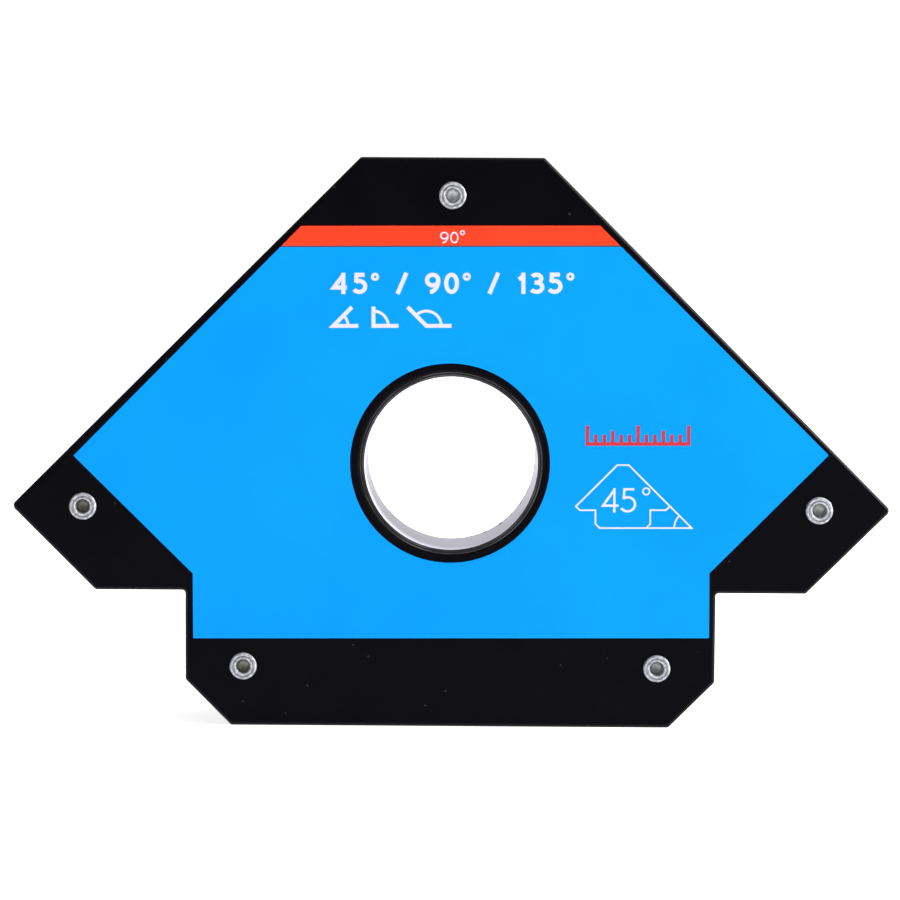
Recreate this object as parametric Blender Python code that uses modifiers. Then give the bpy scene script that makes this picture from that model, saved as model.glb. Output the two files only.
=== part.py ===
"""Arrow-shaped welding magnet holder.

Two steel pole plates carry seven ferrite blocks between them. Five semi-tubular rivets clamp the sandwich,
a spacer tube round each rivet keeps the plates parallel, and non-magnetic spacers and strips close its rim.
A sleeve lines the round hole, and a printed label covers the middle of each plate.

The plates stand in the XZ plane, on the foot. X is the width, Z the height, and the front faces -Y.
Every outline is a list of (x, z) points, and lengths are in metres.
"""

import math

import bmesh
import bpy
from mathutils import Matrix, Vector

MM = 0.001
SQRT2 = math.sqrt(2)
GAP = 0.3 * MM  # clearance between neighbouring pieces

# Plate outline. All its slanted edges are at 45 degrees.
HEIGHT = 123.8 * MM
TIP_Z = 47.9 * MM  # height of the arm tips
FOOT_HALF = 47.8 * MM  # half the width of the flat foot
ARM_BOTTOM_Z = 29.6 * MM  # underside of the arms
STEP_X = 57.8 * MM  # side faces of the foot block
UPPER_FLANK = FOOT_HALF + 2 * TIP_Z  # x + z along the upper flanks
LOWER_FLANK = FOOT_HALF  # x - z along the lower flanks and the foot's chamfers
TIP_RADIUS = 1.2 * MM
CORNER_RADIUS = 0.9 * MM
STEP_RADIUS = 0.7 * MM

# Sandwich, along Y
THICKNESS = 24.0 * MM  # over the two plates
PLATE = 3.0 * MM
PLATE_EDGE = 0.5 * MM  # chamfer on the plates' rims
LABEL = 0.2 * MM
CORE = THICKNESS - 2 * PLATE - 2 * GAP  # thickness of the layer between the plates
CORE_INSET = 1.0 * MM  # how far the rim of that layer lies behind the plates' edges

# Hole and sleeve
HOLE_Z = 57.7 * MM
SLEEVE_INNER = 18.75 * MM
SLEEVE_OUTER = 19.9 * MM
SLEEVE_EDGE = 0.4 * MM
PLATE_HOLE = SLEEVE_OUTER + GAP

# Label
LABEL_MARGIN = 1.6 * MM  # to the upper flanks and the sides of the foot block
LABEL_LOWER_MARGIN = 17.9 * MM  # to the lower flanks
LABEL_TOP_Z = 109.1 * MM
LABEL_BOTTOM_Z = 19.5 * MM
LABEL_HOLE = 21.7 * MM
LABEL_RADIUS = 0.5 * MM

# Rivets: the front end is rolled over, the rear end has the low domed head
RIVET_TOP_Z = 115.6 * MM
RIVET_ARM_X = 80.0 * MM
RIVET_FOOT_X = 45.1 * MM
RIVET_FOOT_Z = 13.1 * MM
RIVET_SHANK = 2.0 * MM
RIVET_ROLL = 2.95 * MM  # radius of the rolled end
RIVET_HEAD = 3.5 * MM  # radius of the rear head
RIVET_PROUD = 0.8 * MM  # both ends stand this far out of the plates
RIVET_BORE = 1.6 * MM
RIVET_BORE_DEPTH = 4.0 * MM
TUBE_OUTER = 4.0 * MM
RIVET_CLEARANCE = RIVET_SHANK + GAP

# Layer between the plates
STRIP = 2.5 * MM
TOP_SPACER_Z = 104.0 * MM  # underside of the top spacer
TOP_SPACER_CUT = -72.0 * MM  # x - z along its slanted lower corners
ARM_SPACER_X = 73.7 * MM  # inner side of the arm spacers
ARM_SPACER_CUT = 18.0 * MM  # x - z along their slanted inner side
FOOT_SPACER_X = 36.0 * MM  # inner side of the foot spacers
FOOT_SPACER_TOP = 32.0 * MM
FLANK_MAGNET = (50.0 * MM, 22.0 * MM)
FOOT_MAGNET_HEIGHT = 22.0 * MM
ARM_MAGNET = (16.0 * MM, 21.0 * MM)
TOP_MAGNET = (27.0 * MM, 20.0 * MM)
BLOCK_EDGE = 0.4 * MM
MERGE = 0.00001
SHARP = math.radians(35)

SIDES = {"left": -1, "right": 1}
RIVETS = {
    "top": (0.0, RIVET_TOP_Z),
    "left_arm": (-RIVET_ARM_X, TIP_Z),
    "right_arm": (RIVET_ARM_X, TIP_Z),
    "left_foot": (-RIVET_FOOT_X, RIVET_FOOT_Z),
    "right_foot": (RIVET_FOOT_X, RIVET_FOOT_Z),
}


def material(name, color, roughness, metallic):
    made = bpy.data.materials.new(name)
    made.use_nodes = True
    shader = made.node_tree.nodes["Principled BSDF"]
    shader.inputs["Base Color"].default_value = (*color, 1.0)
    shader.inputs["Roughness"].default_value = roughness
    shader.inputs["Metallic"].default_value = metallic
    return made


def place(obj, finish):
    """Puts a piece in the part's collection, on its empty, with its material."""
    PARTS.objects.link(obj)
    obj.parent = ORIGIN
    obj.data.materials.clear()
    obj.data.materials.append(finish)
    return obj


def chamfer(obj, width):
    cut = obj.modifiers.new("edges", "BEVEL")
    cut.width = width
    cut.segments = 1
    cut.limit_method = "ANGLE"
    cut.angle_limit = math.radians(50)


def arc(centre, radius, start, end, count):
    """Points on an arc, with angles in radians, both ends included."""
    turns = [start + (end - start) * i / (count - 1) for i in range(count)]
    return [(centre[0] + radius * math.cos(a), centre[1] + radius * math.sin(a)) for a in turns]


def circle(centre, radius, count):
    return arc(centre, radius, 0, 2 * math.pi, count + 1)[:-1]


def rounded(corners, radii, count=5):
    """A closed outline with each corner replaced by an arc of its own radius."""
    points = []
    for i, corner in enumerate(corners):
        here = Vector(corner)
        before = (Vector(corners[i - 1]) - here).normalized()
        after = (Vector(corners[(i + 1) % len(corners)]) - here).normalized()
        half = before.angle(after) / 2
        centre = here + (before + after).normalized() * (radii[i] / math.sin(half))
        start = here + before * (radii[i] / math.tan(half)) - centre
        end = here + after * (radii[i] / math.tan(half)) - centre
        first = math.atan2(start.y, start.x)
        turn = math.remainder(math.atan2(end.y, end.x) - first, 2 * math.pi)
        points += arc(centre, radii[i], first, first + turn, count)
    return points


def mirrored(half):
    """A closed outline from its +X half, which runs from top to bottom."""
    return half + [(-x, z) for x, z in reversed(half)]


def on_side(outline, side):
    return [(side * x, z) for x, z in outline]


def arrow(inset):
    """The corners of the +X half of the plate outline, top to bottom, moved inwards by inset."""
    upper = UPPER_FLANK - inset * SQRT2
    lower = LOWER_FLANK - inset * SQRT2
    top = HEIGHT - inset
    step_x = STEP_X - inset
    step_z = ARM_BOTTOM_Z + inset
    return {
        "top": (upper - top, top),
        "tip": ((upper + lower) / 2, (upper - lower) / 2),
        "arm": (lower + step_z, step_z),
        "step": (step_x, step_z),
        "block": (step_x, step_x - lower),
        "foot": (lower + inset, inset),
    }


def flank_point(along, depth):
    """A point at x - z = along, and at depth behind the right upper flank."""
    across = UPPER_FLANK - depth * SQRT2
    return Vector(((across + along) / 2, (across - along) / 2))


def flat_piece(name, outlines, y, thickness, finish):
    """A plate in the XZ plane with its middle at y. The first outline is its rim, the rest are holes."""
    curve = bpy.data.curves.new(name, "CURVE")
    curve.dimensions = "2D"
    curve.fill_mode = "BOTH"
    curve.extrude = thickness / 2
    for outline in outlines:
        spline = curve.splines.new("POLY")
        spline.points.add(len(outline) - 1)
        for point, (x, z) in zip(spline.points, outline):
            point.co = (x, z, 0.0, 1.0)
        spline.use_cyclic_u = True
    guide = bpy.data.objects.new(name + "_outline", curve)
    bpy.context.scene.collection.objects.link(guide)
    guide.location = (0.0, y, 0.0)
    guide.rotation_euler = (math.radians(90), 0.0, 0.0)
    bpy.context.view_layer.update()
    evaluated = guide.evaluated_get(bpy.context.evaluated_depsgraph_get())
    mesh = bpy.data.meshes.new_from_object(evaluated)
    mesh.name = name
    obj = bpy.data.objects.new(name, mesh)
    obj.matrix_world = guide.matrix_world.copy()
    bpy.data.objects.remove(guide)
    welded = bmesh.new()
    welded.from_mesh(mesh)
    bmesh.ops.remove_doubles(welded, verts=welded.verts, dist=MERGE)
    welded.to_mesh(mesh)
    welded.free()
    mesh.shade_smooth()
    mesh.set_sharp_from_angle(angle=SHARP)
    return place(obj, finish)


def block(name, size, centre, finish, tilt=0.0):
    """A box of size (along, across) in the XZ plane and as thick as the core, turned about Y by tilt."""
    shape = bmesh.new()
    bmesh.ops.create_cube(shape, size=1.0)
    bmesh.ops.transform(shape, matrix=Matrix.Diagonal((size[0], CORE, size[1], 1.0)), verts=shape.verts)
    mesh = bpy.data.meshes.new(name)
    shape.to_mesh(mesh)
    shape.free()
    obj = bpy.data.objects.new(name, mesh)
    obj.location = (centre[0], 0.0, centre[1])
    obj.rotation_euler = (0.0, tilt, 0.0)
    chamfer(obj, BLOCK_EDGE)
    return place(obj, finish)


def turned_piece(name, profile, x, z, steps, finish, closed=False):
    """A solid turned about a line along Y. The profile holds (radius, height) and its height points to -Y."""
    mesh = bpy.data.meshes.new(name)
    count = len(profile)
    links = [(i, (i + 1) % count) for i in range(count if closed else count - 1)]
    mesh.from_pydata([(radius, 0.0, height) for radius, height in profile], links, [])
    obj = bpy.data.objects.new(name, mesh)
    obj.location = (x, 0.0, z)
    obj.rotation_euler = (math.radians(90), 0.0, 0.0)
    screw = obj.modifiers.new("turn", "SCREW")
    screw.steps = steps
    screw.render_steps = steps
    screw.use_merge_vertices = True
    screw.merge_threshold = MERGE
    screw.use_smooth_shade = True
    return place(obj, finish)


def tube_profile(inner, outer, half_length, edge):
    """A tube's section, down its outer side and up its bore, with its edges chamfered."""
    return [
        (outer, half_length - edge),
        (outer, edge - half_length),
        (outer - edge, -half_length),
        (inner + edge, -half_length),
        (inner, edge - half_length),
        (inner, half_length - edge),
        (inner + edge, half_length),
        (outer - edge, half_length),
    ]


def rivet_profile():
    """From the floor of the blind bore, over the rolled end and down the shank, to the middle of the head."""
    seat = THICKNESS / 2 + GAP
    end = THICKNESS / 2 + RIVET_PROUD
    floor = end - RIVET_BORE_DEPTH
    rise = end - seat
    return [
        (0.0, floor),
        (RIVET_BORE, floor + RIVET_BORE / 2),
        (RIVET_BORE, end - rise / 2),
        (RIVET_BORE + rise / 2, end),
        (RIVET_ROLL - rise / 2, end),
        (RIVET_ROLL, end - rise / 2),
        (RIVET_ROLL, seat),
        (RIVET_SHANK, seat),
        (RIVET_SHANK, -seat),
        (RIVET_HEAD, -seat),
        (RIVET_HEAD - rise / 2, -end + rise / 4),
        (RIVET_HEAD / 2, -end),
        (0.0, -end),
    ]


def make_plates():
    corners = arrow(0.0)
    radii = {"tip": TIP_RADIUS, "step": STEP_RADIUS}
    half_radii = [radii.get(key, CORNER_RADIUS) for key in corners]
    rim = rounded(mirrored(list(corners.values())), half_radii + half_radii[::-1])
    holes = [circle((0.0, HOLE_Z), PLATE_HOLE, 64)]
    holes += [circle(centre, RIVET_CLEARANCE, 16) for centre in RIVETS.values()]
    for name, side in {"front_plate": -1, "rear_plate": 1}.items():
        plate = flat_piece(name, [rim, *holes], side * (THICKNESS - PLATE) / 2, PLATE, POWDER_COAT)
        chamfer(plate, PLATE_EDGE)


def make_labels():
    upper = UPPER_FLANK - LABEL_MARGIN * SQRT2
    lower = LOWER_FLANK - LABEL_LOWER_MARGIN * SQRT2
    side_x = STEP_X - LABEL_MARGIN
    half = [
        (upper - LABEL_TOP_Z, LABEL_TOP_Z),
        ((upper + lower) / 2, (upper - lower) / 2),
        (side_x, side_x - lower),
        (side_x, LABEL_BOTTOM_Z),
    ]
    rim = rounded(mirrored(half), [LABEL_RADIUS] * 2 * len(half), count=4)
    hole = circle((0.0, HOLE_Z), LABEL_HOLE, 64)
    for name, side in {"front_label": -1, "rear_label": 1}.items():
        flat_piece(name, [rim, hole], side * (THICKNESS / 2 + GAP + LABEL / 2), LABEL, VINYL)


def make_sleeve():
    profile = tube_profile(SLEEVE_INNER, SLEEVE_OUTER, THICKNESS / 2, SLEEVE_EDGE)
    turned_piece("hole_sleeve", profile, 0.0, HOLE_Z, 64, ALUMINIUM, closed=True)


def make_rivets():
    tube = tube_profile(RIVET_CLEARANCE, TUBE_OUTER, CORE / 2, BLOCK_EDGE)
    for name, (x, z) in RIVETS.items():
        turned_piece(name + "_rivet", rivet_profile(), x, z, 24, ZINC)
        turned_piece(name + "_spacer_tube", tube, x, z, 20, STEEL, closed=True)


def make_spacers():
    """The blocks that fill the corners of the rim, each bored for a rivet's spacer tube."""
    rim = arrow(CORE_INSET)
    bore = TUBE_OUTER + GAP
    top = [
        rim["top"],
        tuple(flank_point(TOP_SPACER_CUT, CORE_INSET)),
        (TOP_SPACER_CUT + TOP_SPACER_Z, TOP_SPACER_Z),
    ]
    outlines = {"top": mirrored(top)}
    arm = [
        rim["tip"],
        rim["arm"],
        (ARM_SPACER_X, rim["arm"][1]),
        (ARM_SPACER_X, ARM_SPACER_X - ARM_SPACER_CUT),
        tuple(flank_point(ARM_SPACER_CUT, CORE_INSET)),
    ]
    foot = [
        (FOOT_SPACER_X, FOOT_SPACER_TOP),
        (rim["step"][0], FOOT_SPACER_TOP),
        rim["block"],
        rim["foot"],
        (FOOT_SPACER_X, CORE_INSET),
    ]
    for side_name, side in SIDES.items():
        outlines[side_name + "_arm"] = on_side(arm, side)
        outlines[side_name + "_foot"] = on_side(foot, side)
    for name, corners in outlines.items():
        outline = rounded(corners, [CORNER_RADIUS] * len(corners), count=3)
        hole = circle(RIVETS[name], bore, 20)
        flat_piece(name + "_spacer", [outline, hole], 0.0, CORE, NYLON)


def make_strips():
    """The strips that close the rim in front of the magnets."""
    start = TOP_SPACER_CUT + GAP * SQRT2
    end = ARM_SPACER_CUT - GAP * SQRT2
    length = (end - start) / SQRT2
    centre = flank_point((start + end) / 2, CORE_INSET + STRIP / 2)
    step_start = STEP_X - CORE_INSET + GAP
    step_end = ARM_SPACER_X - GAP
    step_centre = ((step_start + step_end) / 2, ARM_BOTTOM_Z + CORE_INSET + STRIP / 2)
    foot_size = (2 * (FOOT_SPACER_X - GAP), STRIP)
    block("foot_strip", foot_size, (0.0, CORE_INSET + STRIP / 2), NYLON)
    for name, side in SIDES.items():
        tilt = side * math.radians(45)
        block(name + "_flank_strip", (length, STRIP), (side * centre.x, centre.y), NYLON, tilt)
        size = (step_end - step_start, STRIP)
        block(name + "_step_strip", size, (side * step_centre[0], step_centre[1]), NYLON)


def make_magnets():
    """Ferrite blocks behind every face that has to grip: flanks, arms, foot and top."""
    depth = CORE_INSET + STRIP + GAP
    foot_width = FOOT_SPACER_X - 1.5 * GAP
    foot_centre = (foot_width / 2 + GAP / 2, depth + FOOT_MAGNET_HEIGHT / 2)
    arm_centre = (ARM_SPACER_X - GAP - ARM_MAGNET[0] / 2, ARM_BOTTOM_Z + depth + ARM_MAGNET[1] / 2)
    start = UPPER_FLANK - depth * SQRT2 - 2 * (TOP_SPACER_Z - GAP)
    flank_centre = flank_point(start + FLANK_MAGNET[0] / SQRT2, depth + FLANK_MAGNET[1] / 2)
    top_centre = (0.0, TOP_SPACER_Z - GAP - TOP_MAGNET[1] / 2)
    block("top_magnet", TOP_MAGNET, top_centre, FERRITE)
    for name, side in SIDES.items():
        tilt = side * math.radians(45)
        block(name + "_flank_magnet", FLANK_MAGNET, (side * flank_centre.x, flank_centre.y), FERRITE, tilt)
        block(name + "_arm_magnet", ARM_MAGNET, (side * arm_centre[0], arm_centre[1]), FERRITE)
        size = (foot_width, FOOT_MAGNET_HEIGHT)
        block(name + "_foot_magnet", size, (side * foot_centre[0], foot_centre[1]), FERRITE)


for old in list(bpy.data.objects):
    bpy.data.objects.remove(old)
PARTS = bpy.data.collections.new("welding_magnet_holder")
bpy.context.scene.collection.children.link(PARTS)
ORIGIN = bpy.data.objects.new("holder_origin", None)
PARTS.objects.link(ORIGIN)

POWDER_COAT = material("black_powder_coat", (0.006, 0.006, 0.008), 0.45, 0.0)
VINYL = material("printed_vinyl", (0.003, 0.35, 1.0), 0.35, 0.0)
ALUMINIUM = material("sleeve_aluminium", (0.60, 0.58, 0.63), 0.35, 1.0)
ZINC = material("zinc_plated_rivet", (0.72, 0.72, 0.74), 0.25, 1.0)
STEEL = material("plain_steel", (0.45, 0.45, 0.46), 0.4, 1.0)
FERRITE = material("ferrite", (0.035, 0.034, 0.036), 0.7, 0.0)
NYLON = material("black_nylon", (0.012, 0.012, 0.013), 0.6, 0.0)

make_plates()
make_labels()
make_sleeve()
make_rivets()
make_spacers()
make_strips()
make_magnets()
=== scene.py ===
import math

import bmesh
import bpy
from mathutils import Matrix, Quaternion, Vector, noise
from mathutils.geometry import delaunay_2d_cdt, tessellate_polygon


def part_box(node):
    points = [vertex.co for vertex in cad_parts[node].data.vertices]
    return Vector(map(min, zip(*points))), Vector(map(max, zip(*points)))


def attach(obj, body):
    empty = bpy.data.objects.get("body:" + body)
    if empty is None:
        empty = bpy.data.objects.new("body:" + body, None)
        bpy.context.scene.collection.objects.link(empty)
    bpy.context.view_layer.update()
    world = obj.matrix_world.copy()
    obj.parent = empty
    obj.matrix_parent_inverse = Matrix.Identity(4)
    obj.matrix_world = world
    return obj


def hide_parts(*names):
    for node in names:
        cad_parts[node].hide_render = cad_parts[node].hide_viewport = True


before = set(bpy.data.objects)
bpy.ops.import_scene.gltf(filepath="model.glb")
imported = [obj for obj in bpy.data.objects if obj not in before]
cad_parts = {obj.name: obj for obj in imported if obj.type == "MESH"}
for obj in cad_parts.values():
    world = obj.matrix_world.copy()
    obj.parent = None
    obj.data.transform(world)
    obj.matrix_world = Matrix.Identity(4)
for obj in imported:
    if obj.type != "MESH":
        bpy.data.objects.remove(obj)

MM = 0.001
SQRT2 = math.sqrt(2)
BODY = "root"


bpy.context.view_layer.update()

# ---------------------------------------------------------------- driving dimensions, as in the CAD model
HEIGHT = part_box("front_plate")[1].z
FRONT = -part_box("front_plate")[0].y  # from the middle plane to a plate's outer face
INNER = -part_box("front_plate")[1].y  # and to its inner face
PROUD = -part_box("top_rivet")[0].y - FRONT  # how far the rivets stand out of the plates
SLEEVE_INNER = 18.75 * MM
HOLE_Z = (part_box("hole_sleeve")[0].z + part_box("hole_sleeve")[1].z) / 2
TIP_Z = 47.9 * MM
FOOT_HALF = 47.8 * MM
ARM_BOTTOM_Z = 29.6 * MM
STEP_X = 57.8 * MM
UPPER_FLANK = FOOT_HALF + 2 * TIP_Z  # x + z along the upper flanks
LOWER_FLANK = FOOT_HALF  # x - z along the lower flanks and the foot's chamfers

# Plates
TIP_RADIUS = 1.2 * MM
CORNER_RADIUS = 0.9 * MM
STEP_RADIUS = 0.7 * MM
RIM_ROUND = (1.0 * MM, 0.80 * MM)  # how far the rim's rounding reaches inwards, and how deep
HOLE_ROUND = (0.30 * MM, 0.30 * MM)
PLATE_BREAK = (0.25 * MM, 0.25 * MM)
PLATE_HOLE = 20.0 * MM  # the sleeve is drawn out to it, so that no light shows between the two
RIVET_HOLE = 2.3 * MM
HOLE_STEPS = 128
FLAT = 0.9999  # a flat face's normal has at least this much Y
UPRIGHT = 0.0001  # and a wall's at most this much
NEARLY_FLAT = 0.92  # roundings steeper than this get their own finish

# Sleeve
SLEEVE_EDGE = 0.40 * MM
SLEEVE_STEPS = 160
BARE_REACH = 0.08 * MM  # how far the bare metal comes out over the edge of the bore
# radii of two painted highlight lines on the sleeve's coated end, standing in for light caught by edges
PAINTED_HIGHLIGHT_LINES = (PLATE_HOLE - 0.28 * MM, SLEEVE_INNER + 0.42 * MM)

# Rivets
RIVET_STEM = 2.0 * MM
RIVET_BORE = 1.30 * MM
RIVET_HEAD = 3.5 * MM
RIVET_HEAD_RIM = 0.15 * MM
# radii of the lip's two grooves, darkened with painted shade
RIVET_GROOVES = (2.20 * MM, 1.46 * MM)
RIVET_STEPS = 72

# Labels
LABEL = 0.2 * MM
INK = 0.02 * MM
LABEL_MARGIN = 1.6 * MM
LABEL_LOWER_MARGIN = 17.9 * MM
LABEL_TOP_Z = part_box("front_label")[1].z
LABEL_BOTTOM_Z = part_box("front_label")[0].z
LABEL_HOLE = 21.7 * MM
LABEL_RADIUS = 0.2 * MM
BAND_Z = 104.84 * MM  # lower edge of the red band
LINE_Z = 104.50 * MM  # lower edge of the dark line under it
LABEL_TILT = math.radians(-0.38)  # the labels are stuck on slightly askew, turned about the hole's centre
LABEL_SHIFT = -0.05 * MM  # and moved sideways
LABEL_HOLE_X = -0.19 * MM  # and the hole is punched off centre
MITRE_LIMIT = 0.36  # keeps the mitres of printed lines short

# Layer between the plates
CORE_INSET = 1.0 * MM
STRIP = 2.5 * MM
TOP_SPACER_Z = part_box("top_spacer")[0].z
TOP_SPACER_CUT = -72.0 * MM
ARM_SPACER_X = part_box("right_arm_spacer")[0].x
ARM_SPACER_CUT = 18.0 * MM
FOOT_SPACER_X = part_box("right_foot_spacer")[0].x
FOOT_SPACER_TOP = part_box("right_foot_spacer")[1].z
JOINT = 0.08 * MM  # fine line between neighbouring core pieces
CORE_EDGE = 0.3 * MM
SPACER_HOLE = 4.15 * MM

# Camera
LENS = 112.0
SENSOR = 36.0
AZIMUTH = math.radians(0.30)
ELEVATION = math.radians(4.08)
ROLL = math.radians(0.334)
DISTANCE = 607.4 * MM
AIM = Vector((-0.25 * MM, -FRONT, HEIGHT / 2 - 1.3 * MM))
CLIP_START = 0.01

# Stage and light
FLOOR_RADIUS = 6.0
FLOOR_DROP = 0.02 * MM  # keeps the floor off the underside of the foot
FLOOR_GLOW = 0.80
SOFTBOXES = {  # place, size in metres, and power in watts
    "key_right": ((1.15, -1.25, 0.95), (0.8, 0.8), 3.1),
    "fill_left": ((-1.25, -1.25, 0.75), (0.8, 0.8), 2.1),
    "edge_right": ((1.10, -0.12, 0.60), (0.3, 1.1), 26.0),
}
CEILING_PLACE = (0.0, 0.1, 1.6)
CEILING_STRENGTH = 1.3
CEILING_SPREAD = math.radians(70.0)
WORLD_STOPS = ((0.0, 0.05), (0.3, 0.20), (0.80, 0.25), (0.94, 1.0))  # how far towards +Y, and brightness
BACKDROP_STRENGTH = 1.05

SIDES = {"left": -1, "right": 1}
FACES = {"front": 0.0, "rear": math.pi}  # and how far each is turned about Z
RIVET_FLOORS = {  # the rivets, and the colour at the bottom of each one's bore
    "top_rivet": (0.66, 0.67, 0.70),
    "left_arm_rivet": (0.20, 0.20, 0.15),
    "right_arm_rivet": (0.42, 0.43, 0.43),
    "left_foot_rivet": (0.27, 0.27, 0.20),
    "right_foot_rivet": (0.36, 0.36, 0.35),
}


# ---------------------------------------------------------------- outlines, as lists of (x, z) points
def arc(centre, radius, start, end, count):
    turns = [start + (end - start) * i / (count - 1) for i in range(count)]
    return [(centre[0] + radius * math.cos(a), centre[1] + radius * math.sin(a)) for a in turns]


def circle(centre, radius, count):
    return arc(centre, radius, 0, 2 * math.pi, count + 1)[:-1]


def rounded(corners, radii, count=9):
    """A closed outline with each corner replaced by an arc of its own radius."""
    points = []
    for i, corner in enumerate(corners):
        here = Vector(corner)
        before = (Vector(corners[i - 1]) - here).normalized()
        after = (Vector(corners[(i + 1) % len(corners)]) - here).normalized()
        half = before.angle(after) / 2
        centre = here + (before + after).normalized() * (radii[i] / math.sin(half))
        start = here + before * (radii[i] / math.tan(half)) - centre
        end = here + after * (radii[i] / math.tan(half)) - centre
        first = math.atan2(start.y, start.x)
        turn = math.remainder(math.atan2(end.y, end.x) - first, 2 * math.pi)
        points += arc(centre, radii[i], first, first + turn, count)
    return points


def mirrored(half):
    """A closed outline from its +X half, which runs from top to bottom."""
    return half + [(-x, z) for x, z in reversed(half)]


def on_side(outline, side):
    return [(side * x, z) for x, z in outline]


def arrow(inset):
    """The corners of the +X half of the plate outline, top to bottom, moved inwards by inset."""
    upper = UPPER_FLANK - inset * SQRT2
    lower = LOWER_FLANK - inset * SQRT2
    top = HEIGHT - inset
    step_x = STEP_X - inset
    step_z = ARM_BOTTOM_Z + inset
    return {
        "top": (upper - top, top),
        "tip": ((upper + lower) / 2, (upper - lower) / 2),
        "arm": (lower + step_z, step_z),
        "step": (step_x, step_z),
        "block": (step_x, step_x - lower),
        "foot": (lower + inset, inset),
    }


def flank_point(along, depth):
    """A point at x - z = along, and at depth behind the right upper flank."""
    across = UPPER_FLANK - depth * SQRT2
    return ((across + along) / 2, (across - along) / 2)


def rivet_centre(node):
    low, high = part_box(node)
    return ((low.x + high.x) / 2, (low.z + high.z) / 2)


# ---------------------------------------------------------------- mesh tools
def add_object(name, mesh, *finishes):
    obj = bpy.data.objects.new(name, mesh)
    bpy.context.scene.collection.objects.link(obj)
    for finish in finishes:
        mesh.materials.append(finish)
    return obj


def reshape(obj, change):
    """Runs change(bm) on an object's mesh."""
    bm = bmesh.new()
    bm.from_mesh(obj.data)
    change(bm)
    bm.normal_update()
    bm.to_mesh(obj.data)
    bm.free()
    return obj


def smooth(obj, degrees=35):
    obj.data.shade_smooth()
    obj.data.set_sharp_from_angle(angle=math.radians(degrees))
    return obj


def flat_solid(name, *walls):
    """A solid between two flat faces. A wall is a list of (y, outline) sections from one face to the other.

    The first wall is the rim and the rest are holes. The outlines of a wall have equally many points.
    """
    bm = bmesh.new()
    faces = ([], [])
    for wall in walls:
        rings = [[bm.verts.new((x, y, z)) for x, z in outline] for y, outline in wall]
        for upper, lower in zip(rings, rings[1:]):
            for k in range(len(upper)):
                bm.faces.new((upper[k - 1], upper[k], lower[k], lower[k - 1]))
        faces[0].append(rings[0])
        faces[1].append(rings[-1])
    for loops in faces:
        corners = [vert for ring in loops for vert in ring]
        for triangle in tessellate_polygon([[Vector((v.co.x, v.co.z, 0.0)) for v in ring] for ring in loops]):
            bm.faces.new([corners[i] for i in triangle])
    bmesh.ops.recalc_face_normals(bm, faces=bm.faces)
    mesh = bpy.data.meshes.new(name)
    bm.to_mesh(mesh)
    bm.free()
    return add_object(name, mesh)


def straight_wall(outline, near, far):
    return [(near, outline), (far, outline)]


def rounded_wall(outline_at, near, far, near_round, far_round, steps):
    """Sections of a wall with rounded edges.

    outline_at(inset) is the outline moved into the material by inset.
    """
    turns = [math.pi / 2 * i / steps for i in range(steps + 1)]
    reach, depth = near_round
    wall = [(near + depth * (1 - math.cos(a)), outline_at(reach * (1 - math.sin(a)))) for a in turns]
    reach, depth = far_round
    turns.reverse()
    return wall + [(far - depth * (1 - math.cos(a)), outline_at(reach * (1 - math.sin(a)))) for a in turns]


def even_normals(obj):
    """Shades the flat faces as flat and the roundings as turning, and gives these the second finish."""
    bm = bmesh.new()
    bm.from_mesh(obj.data)
    bm.normal_update()
    normals = []
    for vert in bm.verts:
        flat = [f for f in vert.link_faces if abs(f.normal.y) > FLAT]
        wall = [f for f in vert.link_faces if abs(f.normal.y) < UPRIGHT]
        faces = flat[:1] or wall or list(vert.link_faces)
        normals.append(sum((f.normal for f in faces), Vector()).normalized())
    bm.free()
    obj.data.shade_smooth()
    obj.data.normals_split_custom_set_from_vertices(normals)
    for polygon in obj.data.polygons:
        polygon.material_index = 0 if abs(polygon.normal.y) > NEARLY_FLAT else 1
    return obj


def turned_mesh(name, profile, steps, closed=False, wobble=None):
    """A mesh turned about the local Y axis from (radius, height) points. Height points to -Y."""
    bm = bmesh.new()
    rings = []
    for radius, height in profile:
        if radius == 0:
            rings.append([bm.verts.new((0.0, -height, 0.0))])
            continue
        ring = []
        for k in range(steps):
            a = 2 * math.pi * k / steps
            r, h = wobble(radius, height, a) if wobble else (radius, height)
            ring.append(bm.verts.new((r * math.cos(a), -h, r * math.sin(a))))
        rings.append(ring)
    pairs = list(zip(rings, rings[1:] + rings[:1]))
    for upper, lower in pairs if closed else pairs[:-1]:
        for k in range(steps):
            n = (k + 1) % steps
            around = [upper[i % len(upper)] for i in (k, n)] + [lower[i % len(lower)] for i in (n, k)]
            bm.faces.new(list(dict.fromkeys(around)))
    bmesh.ops.recalc_face_normals(bm, faces=bm.faces)
    mesh = bpy.data.meshes.new(name)
    bm.to_mesh(mesh)
    bm.free()
    return mesh


# ---------------------------------------------------------------- printed ink, drawn in millimetres as (x, z)
def stroke(points, width, closed=False, square=False):
    """The four-sided pieces, anticlockwise, of a line with mitred corners.

    Square ends reach half a width further.
    """
    here = [Vector(p) for p in points]
    if square:
        here[0] += (here[0] - here[1]).normalized() * width / 2
        here[-1] += (here[-1] - here[-2]).normalized() * width / 2
    pairs = []
    for i, p in enumerate(here):
        before = (p - here[i - 1]).normalized() if closed or i > 0 else None
        after = (here[(i + 1) % len(here)] - p).normalized() if closed or i < len(here) - 1 else None
        before = before or after
        after = after or before
        normal = (before.orthogonal() + after.orthogonal()).normalized()
        reach = width / 2 / max(MITRE_LIMIT, normal.dot(before.orthogonal()))
        pairs.append((p + normal * reach, p - normal * reach))
    steps = list(zip(pairs, pairs[1:] + pairs[:1]))
    return [[a, b, d, c] for (a, b), (c, d) in (steps if closed else steps[:-1])]


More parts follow.
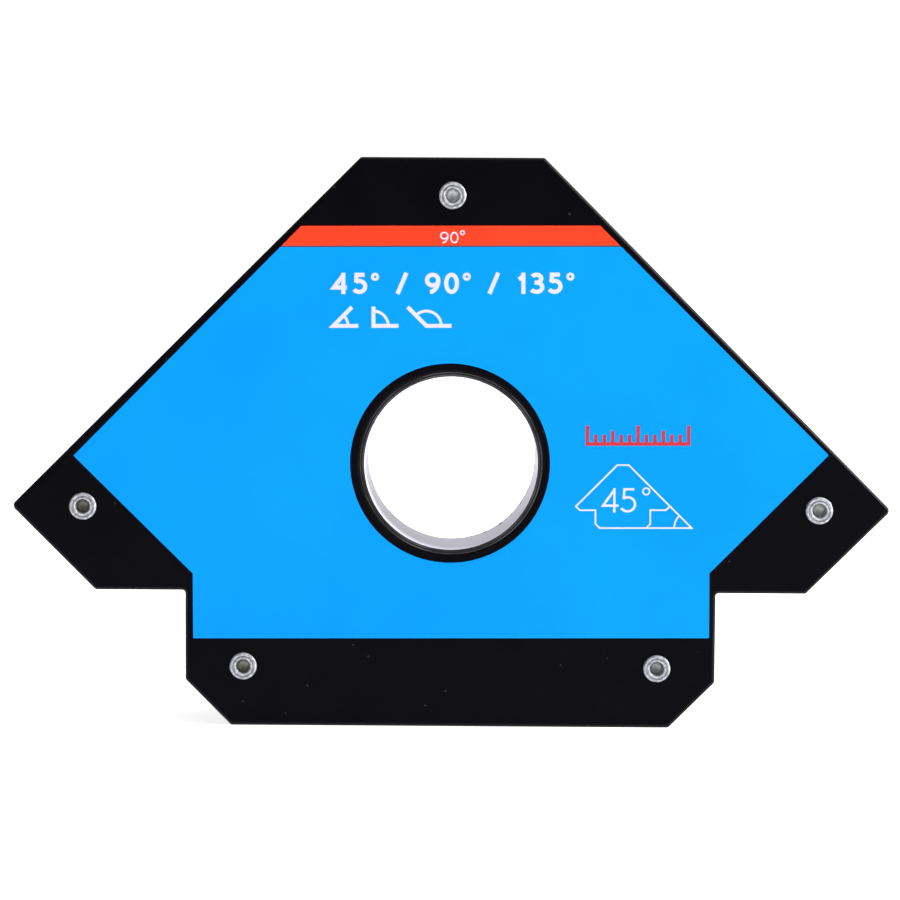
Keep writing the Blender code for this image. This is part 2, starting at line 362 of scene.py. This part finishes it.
def bow(x, z, rx, rz, start, end, count=29):
    """Points along part of an ellipse, between two angles in degrees."""
    unit = arc((0.0, 0.0), 1.0, math.radians(start), math.radians(end), count)
    return [(x + rx * c, z + rz * s) for c, s in unit]


# Each figure: its width, and its lines as (points in its own unit square, closed, square ends)
GLYPHS = {
    "0": (0.64, [(bow(0.5, 0.5, 0.5, 0.5, 0, 360)[:-1], True, False)]),
    "1": (0.42, [([(0.80, 0.0), (0.80, 1.0)], False, True), ([(0.80, 0.92), (0.0, 0.72)], False, False)]),
    "3": (
        0.60,
        [
            (bow(0.42, 0.770, 0.48, 0.230, 150, -90), False, False),
            (bow(0.42, 0.270, 0.58, 0.270, 90, -148), False, False),
            ([(0.22, 0.540), (0.44, 0.540)], False, False),
        ],
    ),
    "4": (
        0.78,
        [
            ([(0.74, 0.0), (0.74, 1.0)], False, True),
            ([(0.74, 0.98), (0.07, 0.26), (1.0, 0.26)], False, False),
        ],
    ),
    "5": (
        0.62,
        [
            ([(0.94, 1.0), (0.17, 1.0), (0.12, 0.55)], False, False),
            (bow(0.42, 0.320, 0.58, 0.320, 124, -148), False, False),
        ],
    ),
    "9": (
        0.66,
        [
            (bow(0.5, 0.690, 0.5, 0.310, 0, 360)[:-1], True, False),
            (bow(0.24, 0.690, 0.76, 0.690, 0, -88), False, False),
        ],
    ),
    "/": (0.55, [([(0.08, 0.0), (0.92, 1.0)], False, True)]),
}


def figures(text, left, bottom, height, line, gap, stretch=1.0):
    """The pieces of a row of figures, with the lower left corner of the first at (left, bottom)."""
    pieces = []
    for char in text:
        if char == "°":
            ring = line * 0.65
            radius = height * 0.19
            centre = (left + radius, bottom + height - radius)
            pieces += stroke(circle(centre, radius - ring / 2, 24), ring, closed=True)
            left += 2 * radius + gap
            continue
        if char == " ":
            left += height * 0.6
            continue
        width, lines = GLYPHS[char]
        width *= height * stretch
        x = left + line / 2
        z = bottom + line / 2
        for points, closed, square in lines:
            placed = [(x + u * (width - line), z + v * (height - line)) for u, v in points]
            pieces += stroke(placed, line, closed, square)
        left += width + gap
    return pieces


def angle_sign(left, bottom, height, degrees):
    """A bold angle sign: a base line, an arm at that angle and the arc between them."""
    line = 0.85
    turn = math.radians(degrees)
    rise = height - line
    run = rise / math.tan(turn)
    corner = (left - min(0.0, run), bottom + line / 2)
    tip = (corner[0] + run, corner[1] + rise)
    pieces = stroke([tip, corner, (corner[0] + 5.0, corner[1])], line, square=True)
    return pieces + stroke(arc(corner, 3.2, 0.0, turn, 17), 0.6)


def pictogram(x, z):
    """A line drawing of the holder on a 45-degree wedge. The middle of its foot is at (x, z)."""
    line = 0.33
    left = [(-5.05, 0), (-5.95, 0.9), (-5.95, 3.9), (-9.35, 3.9), (-10.2, 4.75), (-1.25, 13.7)]
    right = [(10.2, 4.75), (9.35, 3.9), (5.95, 3.9), (5.95, 0.9), (5.05, 0)]
    wedge_tip = (1.25 + 13.7, 0)
    lines = [
        ([wedge_tip, *left, (1.25, 13.7)], True),
        (right, False),
        (arc(wedge_tip, 3.8, math.radians(138), math.radians(180), 11), False),
        (circle((5.05, 8.0), 0.72, 28), True),
    ]
    pieces = []
    for points, closed in lines:
        pieces += stroke([(x + u, z + v) for u, v in points], line, closed)
    return pieces + figures("45", left=x - 4.80, bottom=z + 3.40, height=5.3, line=0.50, gap=0.26)


def graduations(left, bottom, step, count):
    line = 0.75
    end = left + (count - 1) * step
    pieces = stroke([(left, bottom), (end, bottom)], line, square=True)
    for i in range(count):
        height = 4.0 if i % 6 == 0 else 2.9 if i % 3 == 0 else 2.0
        pieces += stroke([(left + i * step, bottom), (left + i * step, bottom + height)], line)
    return pieces


def ink_layer(name, pieces, finish):
    """One thin solid in the shape of all the pieces together, lying on the front label's film."""
    corners = []
    faces = []
    for piece in pieces:
        faces.append(list(range(len(corners), len(corners) + len(piece))))
        corners += piece
    points, _, found, _, _, origins = delaunay_2d_cdt(corners, [], faces, 1, 0.0001)
    triangles = [triangle for triangle, origin in zip(found, origins) if origin]
    bm = bmesh.new()
    low, high = (
        [bm.verts.new((p.x * MM, -FRONT - LABEL - lift, p.y * MM)) for p in points]
        for lift in (0.0, INK)
    )
    sides = set()
    for triangle in triangles:
        bm.faces.new([low[i] for i in triangle])
        bm.faces.new([high[i] for i in reversed(triangle)])
        for edge in zip(triangle, triangle[1:] + triangle[:1]):
            if edge[::-1] in sides:
                sides.remove(edge[::-1])
            else:
                sides.add(edge)
    for a, b in sides:
        bm.faces.new((low[b], low[a], high[a], high[b]))
    bmesh.ops.delete(bm, geom=[v for v in bm.verts if not v.link_faces], context="VERTS")
    bmesh.ops.recalc_face_normals(bm, faces=bm.faces)
    mesh = bpy.data.meshes.new(name)
    bm.to_mesh(mesh)
    bm.free()
    return add_object(name, mesh, finish)


def ride(obj, slot_name, *nodes):
    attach(obj, BODY)
    if nodes:
        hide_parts(*nodes)
    return obj


# ---------------------------------------------------------------- materials
class Finish:
    """A Principled material and short ways to wire procedural detail into it."""

    def __init__(self, name, color, roughness, metallic=0.0, specular=0.5):
        self.material = bpy.data.materials.new(name)
        self.material.use_nodes = True
        self.tree = self.material.node_tree
        self.shader = self.tree.nodes["Principled BSDF"]
        self.shader.inputs["Base Color"].default_value = (*color, 1.0)
        self.shader.inputs["Roughness"].default_value = roughness
        self.shader.inputs["Metallic"].default_value = metallic
        self.shader.inputs["Specular IOR Level"].default_value = specular
        self.place = self.node("ShaderNodeTexCoord").outputs["Object"]
        self.height = None

    def node(self, kind, **values):
        made = self.tree.nodes.new(kind)
        for key, value in values.items():
            setattr(made, key, value)
        return made

    def link(self, source, target):
        self.tree.links.new(source, target)

    def noise(self, size, detail=3.0, roughness=0.55, stretch=(1.0, 1.0, 1.0)):
        """Noise whose lumps are about size metres across, from 0 to 1."""
        mapping = self.node("ShaderNodeMapping")
        mapping.inputs["Scale"].default_value = [s / size for s in stretch]
        self.link(self.place, mapping.inputs["Vector"])
        made = self.node("ShaderNodeTexNoise")
        made.inputs["Scale"].default_value = 1.0
        made.inputs["Detail"].default_value = detail
        made.inputs["Roughness"].default_value = roughness
        self.link(mapping.outputs["Vector"], made.inputs["Vector"])
        return made.outputs["Fac"]

    def cells(self, size):
        """Distance to the nearest of points scattered about size metres apart, in units of size."""
        mapping = self.node("ShaderNodeMapping")
        mapping.inputs["Scale"].default_value = [1.0 / size] * 3
        self.link(self.place, mapping.inputs["Vector"])
        made = self.node("ShaderNodeTexVoronoi")
        made.inputs["Scale"].default_value = 1.0
        self.link(mapping.outputs["Vector"], made.inputs["Vector"])
        return made.outputs["Distance"]

    def remap(self, source, low, high, to_low, to_high):
        made = self.node("ShaderNodeMapRange")
        for key, value in (("From Min", low), ("From Max", high), ("To Min", to_low), ("To Max", to_high)):
            made.inputs[key].default_value = value
        self.link(source, made.inputs["Value"])
        return made.outputs["Result"]

    def math(self, operation, a, b):
        made = self.node("ShaderNodeMath", operation=operation)
        for socket, value in zip(made.inputs, (a, b)):
            if isinstance(value, (int, float)):
                socket.default_value = value
            else:
                self.link(value, socket)
        return made.outputs["Value"]

    def axis(self, name):
        """One coordinate of the place, in metres."""
        made = self.node("ShaderNodeSeparateXYZ")
        self.link(self.place, made.inputs["Vector"])
        return made.outputs[name]

    def radius(self):
        """Distance from the piece's own Y axis, in metres."""
        x, z = (self.math("POWER", self.axis(name), 2.0) for name in "XZ")
        return self.math("SQRT", self.math("ADD", x, z), 0.0)

    def near(self, source, value, reach):
        """1 where source equals value, fading to 0 at reach away from it."""
        away = self.math("ABSOLUTE", self.math("SUBTRACT", source, value), 0.0)
        return self.remap(away, 0.0, reach, 1.0, 0.0)

    def tint(self, mask, color):
        """Paints color over what the base colour is so far, where mask is 1."""
        mix = self.node("ShaderNodeMix", data_type="RGBA")
        base = self.shader.inputs["Base Color"]
        if base.is_linked:
            self.link(base.links[0].from_socket, mix.inputs["A"])
        else:
            mix.inputs["A"].default_value = base.default_value
        mix.inputs["B"].default_value = (*color, 1.0)
        self.link(mask, mix.inputs["Factor"])
        self.link(mix.outputs["Result"], base)

    def drive(self, source, socket):
        self.link(source, self.shader.inputs[socket])

    def bump(self, source, depth):
        """Adds relief of depth metres from source, on top of what is there."""
        made = self.node("ShaderNodeBump")
        made.inputs["Distance"].default_value = depth
        self.link(source, made.inputs["Height"])
        if self.height is not None:
            self.link(self.height, made.inputs["Normal"])
        self.height = made.outputs["Normal"]
        self.link(self.height, self.shader.inputs["Normal"])


def powder_coat(name, specular):
    """Black powder coat with faint mottling, dust specks and orange peel."""
    coat = Finish(name, (0.0016, 0.0014, 0.0027), 0.38, specular=specular)
    coat.tint(coat.remap(coat.noise(14 * MM), 0.35, 0.75, 0.0, 1.0), (0.0024, 0.0022, 0.0036))
    coat.tint(coat.remap(coat.cells(4.5 * MM), 0.034, 0.060, 1.0, 0.0), (0.036, 0.036, 0.040))
    coat.drive(coat.remap(coat.noise(6 * MM), 0.3, 0.7, 0.36, 0.42), "Roughness")
    coat.bump(coat.noise(1.6 * MM, 2.0), 0.020 * MM)
    coat.bump(coat.noise(0.35 * MM, 2.0), 0.006 * MM)
    return coat.material


def vinyl(name, color, shade):
    film = Finish(name, color, 0.34, specular=0.03)
    film.tint(film.remap(film.noise(38 * MM, 2.0), 0.35, 0.7, 0.0, 1.0), shade)
    film.drive(film.remap(film.noise(3 * MM), 0.3, 0.7, 0.30, 0.38), "Roughness")
    film.bump(film.noise(7 * MM, 2.0), 0.010 * MM)
    film.bump(film.noise(0.5 * MM, 2.0), 0.002 * MM)
    return film.material


def ink(name, color, faded):
    """Screen-printed ink: nearly even, with a fine grain where the film shows through."""
    print_ = Finish(name, color, 0.40, specular=0.25)
    print_.tint(print_.remap(print_.noise(0.5 * MM), 0.45, 0.75, 0.0, 0.6), faded)
    print_.bump(print_.noise(0.3 * MM), 0.004 * MM)
    return print_.material


def sleeve_bore():
    """Satin aluminium with turning marks, and runs of black coat in from the rear edge.

    The runs reach furthest on the +X side.
    """
    bore = Finish("sleeve_aluminium", (0.73, 0.72, 0.79), 0.46, metallic=0.4)
    bore.tint(bore.remap(bore.noise(9 * MM, 3.0), 0.35, 0.75, 0.0, 0.8), (0.67, 0.66, 0.73))
    bore.bump(bore.noise(0.4 * MM, 3.0, stretch=(0.1, 1.0, 0.1)), 0.008 * MM)
    bore.drive(bore.remap(bore.noise(1.2 * MM), 0.3, 0.7, 0.44, 0.56), "Roughness")
    runs = bore.remap(bore.noise(0.9 * MM, 3.0, stretch=(1.0, 0.08, 1.0)), 0.46, 0.70, 0.0, 6.5 * MM)
    side = bore.remap(bore.axis("X"), -6 * MM, 8 * MM, 0.15, 1.0)
    reach = bore.math("ADD", bore.axis("Y"), bore.math("MULTIPLY", runs, side))
    bore.tint(bore.remap(reach, FRONT - 0.2 * MM, FRONT + 0.6 * MM, 0.0, 0.85), (0.012, 0.012, 0.014))
    return bore.material


def sleeve_coat():
    """The coat on the sleeve's ends: grainier than the plates', with painted highlights along two lines."""
    coat = Finish("sleeve_coat_black", (0.0045, 0.0042, 0.0055), 0.42, specular=0.12)
    coat.tint(coat.remap(coat.noise(0.5 * MM, 3.0), 0.45, 0.75, 0.0, 1.0), (0.016, 0.016, 0.019))
    patches = coat.remap(coat.noise(9 * MM, 2.0), 0.35, 0.65, 0.15, 1.0)
    # painted highlight: lighter grey rings at these two radii, in patches
    for line in PAINTED_HIGHLIGHT_LINES:
        painted_highlight = coat.near(coat.radius(), line, 0.15 * MM)
        coat.tint(coat.math("MULTIPLY", painted_highlight, patches), (0.13, 0.13, 0.14))
    coat.bump(coat.noise(0.4 * MM, 3.0), 0.03 * MM)
    return coat.material


def rivet_metal(name, floor):
    """Bright zinc, scuffed on the rolled lip, with painted shade darkening its grooves.

    The floor of the blind bore has its own colour.
    """
    zinc = Finish(name, (0.60, 0.60, 0.63), 0.50, metallic=0.75)
    zinc.tint(zinc.remap(zinc.noise(1.6 * MM, 4.0), 0.36, 0.66, 0.15, 0.9), (0.43, 0.43, 0.46))
    front = zinc.remap(zinc.axis("Y"), 0.0, 1.0 * MM, 1.0, 0.0)
    scuffs = zinc.remap(zinc.noise(0.8 * MM, 4.0), 0.44, 0.64, 0.0, 0.90)
    zinc.tint(zinc.math("MULTIPLY", front, scuffs), (0.27, 0.27, 0.30))
    # painted shade: darker rings along the grooves of the lip
    for groove in RIVET_GROOVES:
        ring = zinc.near(zinc.radius(), groove, 0.20 * MM)
        zinc.tint(zinc.math("MULTIPLY", front, ring), (0.30, 0.30, 0.31))
    depth = zinc.remap(zinc.axis("Y"), -FRONT + 0.1 * MM, -FRONT + 0.9 * MM, 0.0, 1.0)
    bore = zinc.math("MULTIPLY", front, depth)
    zinc.tint(bore, floor)
    mottled = zinc.remap(zinc.noise(0.9 * MM, 3.0), 0.40, 0.68, 0.0, 0.55)
    zinc.tint(zinc.math("MULTIPLY", mottled, bore), [0.45 * channel for channel in floor])
    zinc.drive(zinc.remap(zinc.noise(0.8 * MM), 0.3, 0.7, 0.42, 0.66), "Roughness")
    zinc.bump(zinc.noise(0.7 * MM, 4.0), 0.07 * MM)
    return zinc.material


def nylon():
    plastic = Finish("moulded_nylon", (0.016, 0.016, 0.018), 0.55, specular=0.35)
    plastic.tint(plastic.remap(plastic.noise(10 * MM), 0.4, 0.7, 0.0, 1.0), (0.022, 0.022, 0.024))
    plastic.drive(plastic.remap(plastic.noise(2 * MM), 0.3, 0.7, 0.48, 0.64), "Roughness")
    plastic.bump(plastic.noise(0.4 * MM, 3.0), 0.015 * MM)
    return plastic.material


def ferrite():
    block = Finish("ground_ferrite", (0.045, 0.044, 0.047), 0.55)
    scratches = block.noise(1.5 * MM, stretch=(0.1, 1.0, 1.0))
    block.tint(block.remap(scratches, 0.4, 0.7, 0.0, 1.0), (0.07, 0.07, 0.075))
    block.bump(block.noise(0.3 * MM, 3.0), 0.02 * MM)
    return block.material


def cut_steel():
    steel = Finish("cut_steel_tube", (0.42, 0.42, 0.43), 0.38, metallic=1.0)
    drawn = steel.noise(2 * MM, stretch=(1.0, 0.1, 1.0))
    steel.tint(steel.remap(drawn, 0.4, 0.7, 0.0, 1.0), (0.30, 0.30, 0.31))
    steel.bump(steel.noise(0.3 * MM, 3.0, stretch=(1.0, 0.1, 1.0)), 0.01 * MM)
    return steel.material


# ---------------------------------------------------------------- the pieces
def plate_outline(inset):
    corners = arrow(inset)
    bends = {"tip": TIP_RADIUS - inset, "step": STEP_RADIUS + inset}
    half = [bends.get(key, CORNER_RADIUS - inset) for key in corners]
    return rounded(mirrored(list(corners.values())), half + half[::-1])


def hole_outline(inset):
    return circle((0.0, HOLE_Z), PLATE_HOLE + inset, HOLE_STEPS)


def make_plates():
    coat = powder_coat("powder_coat_black", specular=0.033)
    rubbed_coat = powder_coat("powder_coat_rubbed", specular=0.14)
    holes = [rounded_wall(hole_outline, -FRONT, -INNER, HOLE_ROUND, PLATE_BREAK, 4)]
    for node in RIVET_FLOORS:
        holes.append(straight_wall(circle(rivet_centre(node), RIVET_HOLE, 32), -FRONT, -INNER))
    for face, turn in FACES.items():
        rim = rounded_wall(plate_outline, -FRONT, -INNER, RIM_ROUND, PLATE_BREAK, 7)
        plate = flat_solid(face + "_plate_coated", rim, *holes)
        plate.data.transform(Matrix.Rotation(turn, 4, "Z"))
        even_normals(plate)
        plate.data.materials.append(coat)
        plate.data.materials.append(rubbed_coat)
        ride(plate, "black_powder_coat", face + "_plate")


def label_outline():
    upper = UPPER_FLANK - LABEL_MARGIN * SQRT2
    lower = LOWER_FLANK - LABEL_LOWER_MARGIN * SQRT2
    side_x = STEP_X - LABEL_MARGIN
    half = [
        (upper - LABEL_TOP_Z, LABEL_TOP_Z),
        ((upper + lower) / 2, (upper - lower) / 2),
        (side_x, side_x - lower),
        (side_x, LABEL_BOTTOM_Z),
    ]
    return rounded(mirrored(half), [LABEL_RADIUS] * 2 * len(half), 5)


def make_label_film(name, blue, red, grey):
    """One film with a blue field, a dark line and a red band, drawn facing -Y on the front plate."""
    loops = (label_outline(), circle((LABEL_HOLE_X, HOLE_Z), LABEL_HOLE, HOLE_STEPS))
    film = flat_solid(name, *[straight_wall(loop, -FRONT - LABEL, -FRONT) for loop in loops])

    def split(bm):
        for z in (BAND_Z, LINE_Z):
            everything = bm.verts[:] + bm.edges[:] + bm.faces[:]
            bmesh.ops.bisect_plane(bm, geom=everything, plane_co=(0.0, 0.0, z), plane_no=(0.0, 0.0, 1.0))
        for face in bm.faces:
            height = face.calc_center_median().z
            face.material_index = 1 if height > BAND_Z else 2 if height > LINE_Z else 0

    reshape(film, split)
    for finish in (blue, red, grey):
        film.data.materials.append(finish)
    return film


def white_print():
    pieces = figures("90", left=-2.3, bottom=105.3, height=2.5, line=0.30, gap=0.36, stretch=1.12)
    pieces += stroke(circle((2.55, 107.6), 0.42, 24), 0.26, closed=True)
    angles = "45° / 90° / 135°"
    pieces += figures(angles, left=-25.9, bottom=94.4, height=4.6, line=0.90, gap=0.80, stretch=1.10)
    for left, degrees in ((-25.4, 45), (-16.7, 90), (-9.0, 135)):
        pieces += angle_sign(left, 87.1, 4.6, degrees)
    return pieces + pictogram(37.35, 43.60)


def make_labels():
    blue = vinyl("label_blue", (0.0018, 0.298, 0.970), (0.0026, 0.326, 1.0))
    red = vinyl("label_red", (0.93, 0.052, 0.018), (0.97, 0.060, 0.021))
    grey = vinyl("label_line", (0.055, 0.070, 0.085), (0.075, 0.090, 0.110))
    white_ink = ink("ink_white", (0.70, 0.70, 0.80), (0.60, 0.64, 0.80))
    red_ink = ink("ink_red", (0.56, 0.024, 0.024), (0.40, 0.026, 0.050))
    for face, turn in FACES.items():
        film = make_label_film(face + "_label_film", blue, red, grey)
        white = ink_layer(face + "_label_white_print", white_print(), white_ink)
        marks = graduations(left=29.6, bottom=61.9, step=1.83, count=13)
        scale = ink_layer(face + "_label_red_print", marks, red_ink)
        askew = Matrix.Translation((LABEL_SHIFT, 0.0, HOLE_Z)) @ Matrix.Rotation(LABEL_TILT, 4, "Y")
        askew = askew @ Matrix.Translation((0.0, 0.0, -HOLE_Z))
        for piece in (film, white, scale):
            piece.data.transform(Matrix.Rotation(turn, 4, "Z") @ askew)
        ride(film, "label_vinyl", face + "_label")
        ride(white, "label_vinyl")
        ride(scale, "label_vinyl")


def make_sleeve():
    """The tube through the hole: coated black on its ends, bare in its bore."""
    edge = SLEEVE_EDGE
    turns = [math.radians(a) for a in (0, 22.5, 45, 67.5, 90)]
    bore_lip = [(SLEEVE_INNER + edge * (1 - math.cos(a)), FRONT - edge + edge * math.sin(a)) for a in turns]
    rim_lip = [(PLATE_HOLE - edge * (1 - math.sin(a)), FRONT - edge * (1 - math.cos(a))) for a in turns]
    front = bore_lip + rim_lip
    profile = front + [(r, -h) for r, h in reversed(front)]
    mesh = turned_mesh("hole_sleeve_turned", profile, SLEEVE_STEPS, closed=True)
    obj = add_object("hole_sleeve_turned", mesh, sleeve_bore(), sleeve_coat())
    obj.location = (0.0, 0.0, HOLE_Z)
    for polygon in mesh.polygons:
        radius = math.hypot(polygon.center.x, polygon.center.z)
        polygon.material_index = 1 if radius > SLEEVE_INNER + BARE_REACH else 0
    smooth(obj)
    ride(obj, "sleeve_aluminium", "hole_sleeve")


def rivet_profile():
    """Rolled double lip and blind bore at the front, low dome at the rear."""
    lip = [  # (radius, height above the plate) in millimetres, from the outside to the bore
        (2.30, -0.05), (2.94, 0.02), (2.96, 0.26), (2.88, 0.50), (2.70, 0.68), (2.50, 0.72), (2.36, 0.62),
        (2.26, 0.50), (2.14, 0.50), (2.00, 0.64), (1.84, 0.74), (1.70, 0.72), (1.58, 0.56), (1.50, 0.32),
        (1.44, 0.08), (1.37, -0.40), (1.28, -0.80), (1.12, -1.05), (0.82, -1.20), (0.46, -1.27),
    ]
    points = [(0.0, FRONT - RIVET_BORE)]
    points += [(r * MM, FRONT + h * MM) for r, h in reversed(lip)]
    points += [(RIVET_STEM, FRONT - 0.3 * MM), (RIVET_STEM, 0.3 * MM - FRONT)]
    head_rim = -FRONT - RIVET_HEAD_RIM
    points += [(2.2 * MM, 0.02 * MM - FRONT), (RIVET_HEAD, -FRONT), (RIVET_HEAD, head_rim)]
    for i in range(1, 7):
        a = math.radians(90) * i / 7
        points.append((RIVET_HEAD * math.cos(a), head_rim - (PROUD - RIVET_HEAD_RIM) * math.sin(a)))
    points.append((0.0, -FRONT - PROUD))
    return points


def make_rivets():
    for index, (node, floor) in enumerate(RIVET_FLOORS.items()):
        x, z = rivet_centre(node)

        def wobble(radius, height, angle, seed=index * 7.3):
            """Uneven rolling of the lip, different on each rivet."""
            if height < FRONT:
                return radius, height
            ripple = noise.noise((2.2 * math.cos(angle), 2.2 * math.sin(angle), seed))
            fine = noise.noise((6 * math.cos(angle), 6 * math.sin(angle), seed + radius / MM))
            lifted = height + (0.06 * ripple + 0.03 * fine) * MM
            return radius + (0.05 * ripple + 0.02 * fine) * MM, min(lifted, FRONT + PROUD)

        mesh = turned_mesh(node + "_rolled", rivet_profile(), RIVET_STEPS, wobble=wobble)
        obj = add_object(node + "_rolled", mesh, rivet_metal(node + "_zinc", floor))
        obj.location = (x, 0.0, z)
        smooth(obj, 50)
        ride(obj, "rivet_zinc", node)


def core_outlines():
    """Outlines of the spacers and strips that show along the rim, each for the node that it replaces."""
    rim = arrow(CORE_INSET)
    top = [rim["top"], flank_point(TOP_SPACER_CUT, CORE_INSET), (TOP_SPACER_CUT + TOP_SPACER_Z, TOP_SPACER_Z)]
    found = {"top_spacer": mirrored(top)}
    foot_end = FOOT_SPACER_X - JOINT
    depth = CORE_INSET + STRIP
    found["foot_strip"] = mirrored([(foot_end, depth), (foot_end, CORE_INSET)])
    along = (TOP_SPACER_CUT + JOINT * SQRT2, ARM_SPACER_CUT - JOINT * SQRT2)
    sided = {
        "arm_spacer": [
            rim["tip"],
            rim["arm"],
            (ARM_SPACER_X, rim["arm"][1]),
            (ARM_SPACER_X, ARM_SPACER_X - ARM_SPACER_CUT),
            flank_point(ARM_SPACER_CUT, CORE_INSET),
        ],
        "foot_spacer": [
            (FOOT_SPACER_X, FOOT_SPACER_TOP),
            (rim["step"][0], FOOT_SPACER_TOP),
            rim["block"],
            rim["foot"],
            (FOOT_SPACER_X, CORE_INSET),
        ],
        "flank_strip": [
            flank_point(along[0], CORE_INSET),
            flank_point(along[1], CORE_INSET),
            flank_point(along[1], depth),
            flank_point(along[0], depth),
        ],
        "step_strip": [
            (ARM_SPACER_X - JOINT, rim["arm"][1] + STRIP),
            (ARM_SPACER_X - JOINT, rim["arm"][1]),
            (STEP_X - CORE_INSET + JOINT, rim["arm"][1]),
            (STEP_X - CORE_INSET + JOINT, rim["arm"][1] + STRIP),
        ],
    }
    for key, outline in sided.items():
        for name, side in SIDES.items():
            found[f"{name}_{key}"] = on_side(outline, side)
    return found


def make_core():
    plastic = nylon()
    for node, corners in core_outlines().items():
        loops = [rounded(corners, [CORE_EDGE] * len(corners), 5)]
        if node.endswith("spacer"):
            loops.append(circle(rivet_centre(node.replace("spacer", "rivet")), SPACER_HOLE, 40))
        piece = flat_solid(node + "_moulded", *[straight_wall(loop, -INNER, INNER) for loop in loops])
        smooth(piece)
        piece.data.materials.append(plastic)
        ride(piece, "black_nylon", node)


def finish_inner_nodes():
    """The magnets and spacer tubes keep their CAD shapes."""
    finishes = {"magnet": ferrite(), "spacer_tube": cut_steel()}
    for node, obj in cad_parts.items():
        for ending, finish in finishes.items():
            if node.endswith(ending):
                obj.data.materials.clear()
                obj.data.materials.append(finish)


# ---------------------------------------------------------------- stage, light and camera
def make_stage():
    bm = bmesh.new()
    bmesh.ops.create_circle(bm, cap_ends=True, segments=96, radius=FLOOR_RADIUS)
    mesh = bpy.data.meshes.new("floor")
    bm.to_mesh(mesh)
    bm.free()
    paper = Finish("floor_paper", (0.92, 0.92, 0.92), 0.8, specular=0.0)
    paper.shader.inputs["Emission Color"].default_value = (1.0, 1.0, 1.0, 1.0)
    paper.shader.inputs["Emission Strength"].default_value = FLOOR_GLOW
    floor = add_object("floor", mesh, paper.material)
    floor.location.z = -FLOOR_DROP
    make_world()


def make_world():
    """White where the camera sees it. As a light, bright far behind the object and dark behind the camera."""
    world = bpy.data.worlds.new("studio")
    world.use_nodes = True
    nodes = world.node_tree.nodes
    links = world.node_tree.links
    place = nodes.new("ShaderNodeTexCoord")
    split = nodes.new("ShaderNodeSeparateXYZ")
    ramp = nodes.new("ShaderNodeValToRGB")
    while len(ramp.color_ramp.elements) < len(WORLD_STOPS):
        ramp.color_ramp.elements.new(0.5)
    for element, (position, brightness) in zip(ramp.color_ramp.elements, WORLD_STOPS):
        element.position = position
        element.color = (brightness, brightness, brightness, 1.0)
    links.new(place.outputs["Generated"], split.inputs["Vector"])
    links.new(split.outputs["Y"], ramp.inputs["Fac"])
    links.new(ramp.outputs["Color"], nodes["Background"].inputs["Color"])
    backdrop = nodes.new("ShaderNodeBackground")
    backdrop.inputs["Color"].default_value = (1.0, 1.0, 1.0, 1.0)
    backdrop.inputs["Strength"].default_value = BACKDROP_STRENGTH
    ray = nodes.new("ShaderNodeLightPath")
    mix = nodes.new("ShaderNodeMixShader")
    links.new(ray.outputs["Is Camera Ray"], mix.inputs["Fac"])
    links.new(nodes["Background"].outputs["Background"], mix.inputs[1])
    links.new(backdrop.outputs["Background"], mix.inputs[2])
    links.new(mix.outputs["Shader"], nodes["World Output"].inputs["Surface"])
    bpy.context.scene.world = world


def face_middle(obj, place):
    """Puts a light at place, aimed at the middle of the object."""
    bpy.context.scene.collection.objects.link(obj)
    obj.location = place
    to_light = Vector(place) - Vector((0.0, 0.0, HEIGHT / 2))
    obj.rotation_mode = "QUATERNION"
    obj.rotation_quaternion = to_light.to_track_quat("Z", "Y")


def add_softbox(name, place, size, power):
    light = bpy.data.lights.new(name, "AREA")
    light.shape = "RECTANGLE"
    light.size, light.size_y = size
    light.energy = power
    face_middle(bpy.data.objects.new(name, light), place)


def add_ceiling():
    """An even overhead glow, the same over the whole floor."""
    light = bpy.data.lights.new("ceiling", "SUN")
    light.energy = CEILING_STRENGTH
    light.angle = CEILING_SPREAD
    face_middle(bpy.data.objects.new("ceiling", light), CEILING_PLACE)


def make_lights():
    for name, (place, size, power) in SOFTBOXES.items():
        add_softbox(name, place, size, power)
    add_ceiling()


def make_camera():
    data = bpy.data.cameras.new("camera")
    data.lens = LENS
    data.sensor_width = SENSOR
    data.clip_start = CLIP_START
    camera = bpy.data.objects.new("camera", data)
    bpy.context.scene.collection.objects.link(camera)
    back = Vector(
        (
            math.sin(AZIMUTH) * math.cos(ELEVATION),
            -math.cos(AZIMUTH) * math.cos(ELEVATION),
            math.sin(ELEVATION),
        )
    )
    camera.location = AIM + back * DISTANCE
    camera.rotation_mode = "QUATERNION"
    camera.rotation_quaternion = back.to_track_quat("Z", "Y") @ Quaternion((0.0, 0.0, 1.0), ROLL)
    bpy.context.scene.camera = camera


make_camera()
make_stage()
make_lights()
make_plates()
make_labels()
make_sleeve()
make_rivets()
make_core()
finish_inner_nodes()
bpy.context.scene.view_settings.view_transform = "Standard"
